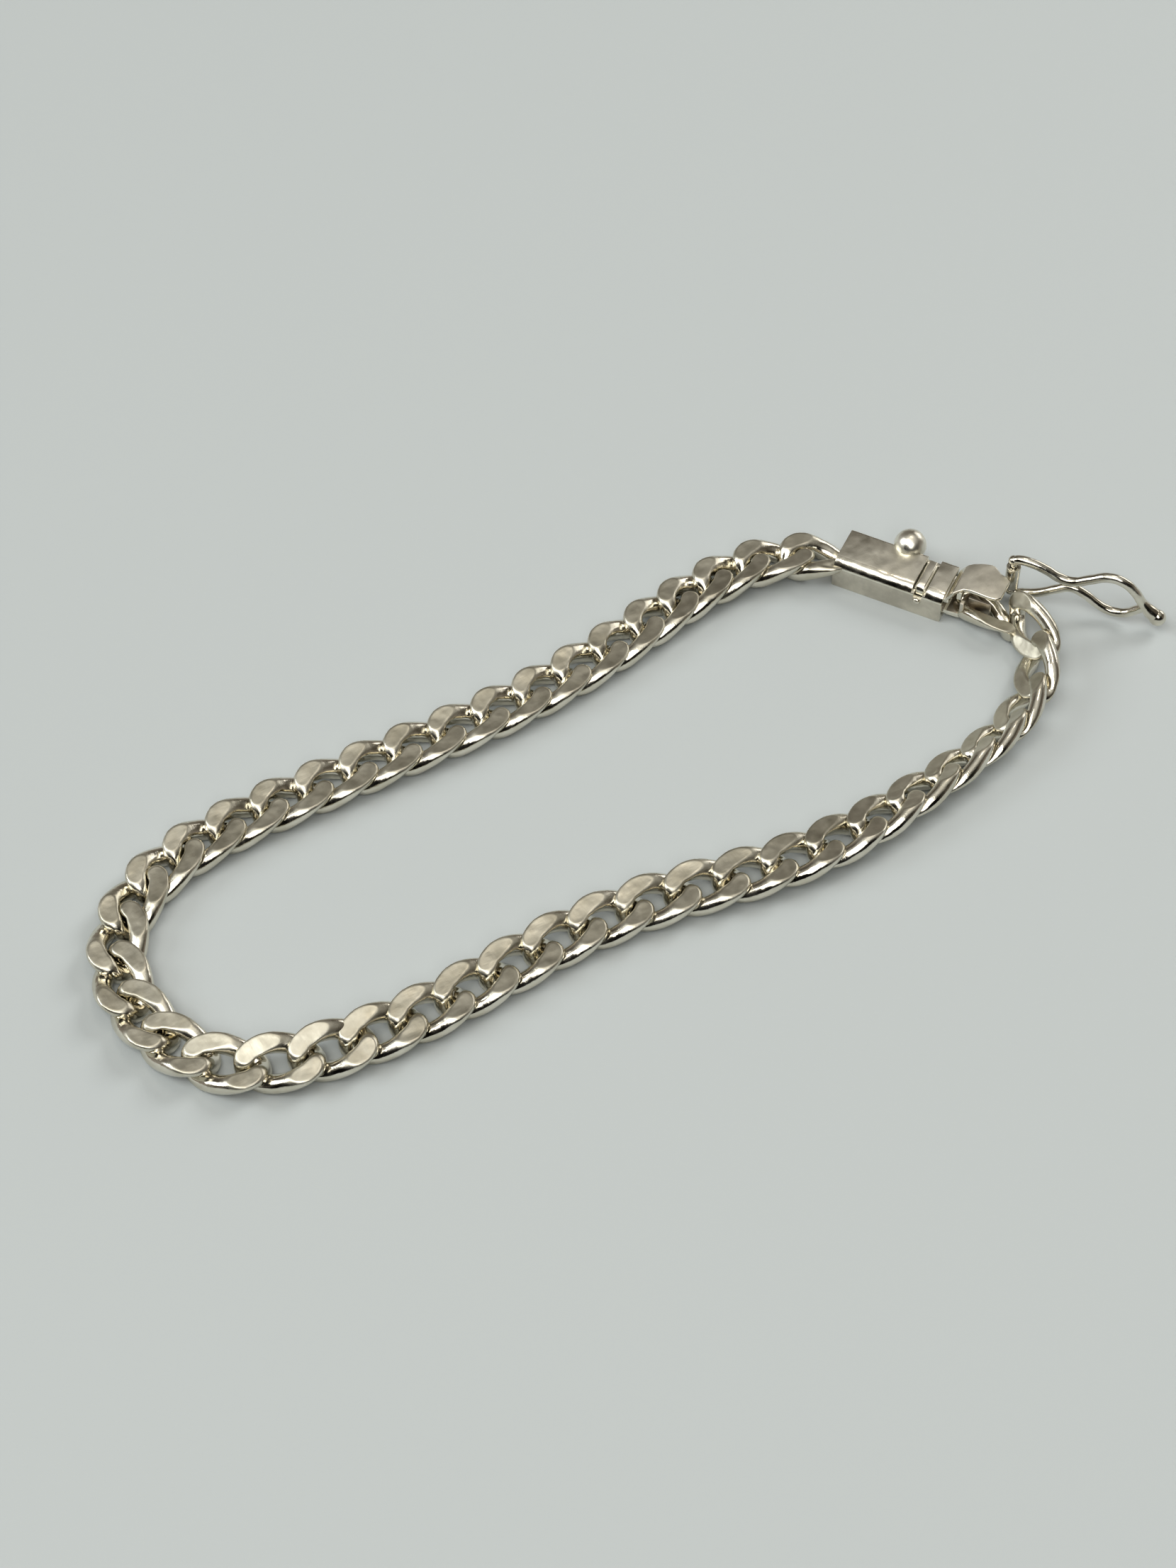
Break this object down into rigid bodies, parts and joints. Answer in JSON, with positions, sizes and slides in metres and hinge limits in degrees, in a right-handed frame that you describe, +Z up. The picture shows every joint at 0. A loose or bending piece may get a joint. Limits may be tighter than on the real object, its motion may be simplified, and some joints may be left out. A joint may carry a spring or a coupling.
{
  "type": "bracelet",
  "caption": "Ground-flat curb chain bracelet with a box clasp, thumb lever and figure-eight safety catch, lying as a closed loop.",
  "frame": {"origin": "on the surface it lies on, under the middle of the loop's extent", "axes": "+X along the length of the lying loop towards the clasp end, +Y across it towards the clasp box, +Z up from the surface"},
  "size_m": [0.0949, 0.0338, 0.0053],
  "materials": {
    "polished_silver": "polished silver with light handling scratches",
    "satin_silver": "silver rubbed to a soft satin, edges polished"
  },
  "bodies": {
    "loop": {"clasp_box": "satin_silver", "link_02": "polished_silver", "link_03": "polished_silver", "link_04": "polished_silver", "link_05": "polished_silver", "link_06": "polished_silver", "link_07": "polished_silver", "link_08": "polished_silver", "link_09": "polished_silver", "link_10": "polished_silver", "link_11": "polished_silver", "link_12": "polished_silver", "link_13": "polished_silver", "link_14": "polished_silver", "link_15": "polished_silver", "link_16": "polished_silver", "link_17": "polished_silver", "link_18": "polished_silver", "link_19": "polished_silver", "link_20": "polished_silver", "link_21": "polished_silver", "link_22": "polished_silver", "link_23": "polished_silver", "link_24": "polished_silver", "link_25": "polished_silver", "link_26": "polished_silver", "link_27": "polished_silver", "link_28": "polished_silver", "link_29": "polished_silver", "link_30": "polished_silver", "link_31": "polished_silver", "link_32": "polished_silver", "link_33": "polished_silver", "link_34": "polished_silver", "link_35": "polished_silver", "link_36": "polished_silver", "link_37": "polished_silver", "link_38": "polished_silver", "link_39": "polished_silver", "link_40": "polished_silver", "link_41": "polished_silver", "link_42": "polished_silver", "link_43": "polished_silver", "clasp_tongue": "polished_silver"},
    "lever": {"thumb_lever": "satin_silver"},
    "catch": {"safety_catch": "polished_silver"}
  },
  "joints": [
    {"name": "lever_press", "type": "hinge", "parent": "loop", "child": "lever", "pos_m": [0.02833, 0.00996, 0.00145], "axis": [0.8251, 0.565, 0], "range_deg": [0, 2], "stiffness_Nm_per_rad": 1.2, "springref_deg": -1.72},
    {"name": "safety_swing", "type": "hinge", "parent": "loop", "child": "catch", "pos_m": [0.03814, 0.00147, 0.00255], "axis": [0, 0, 1], "range_deg": [0, 171.4]}
  ]
}
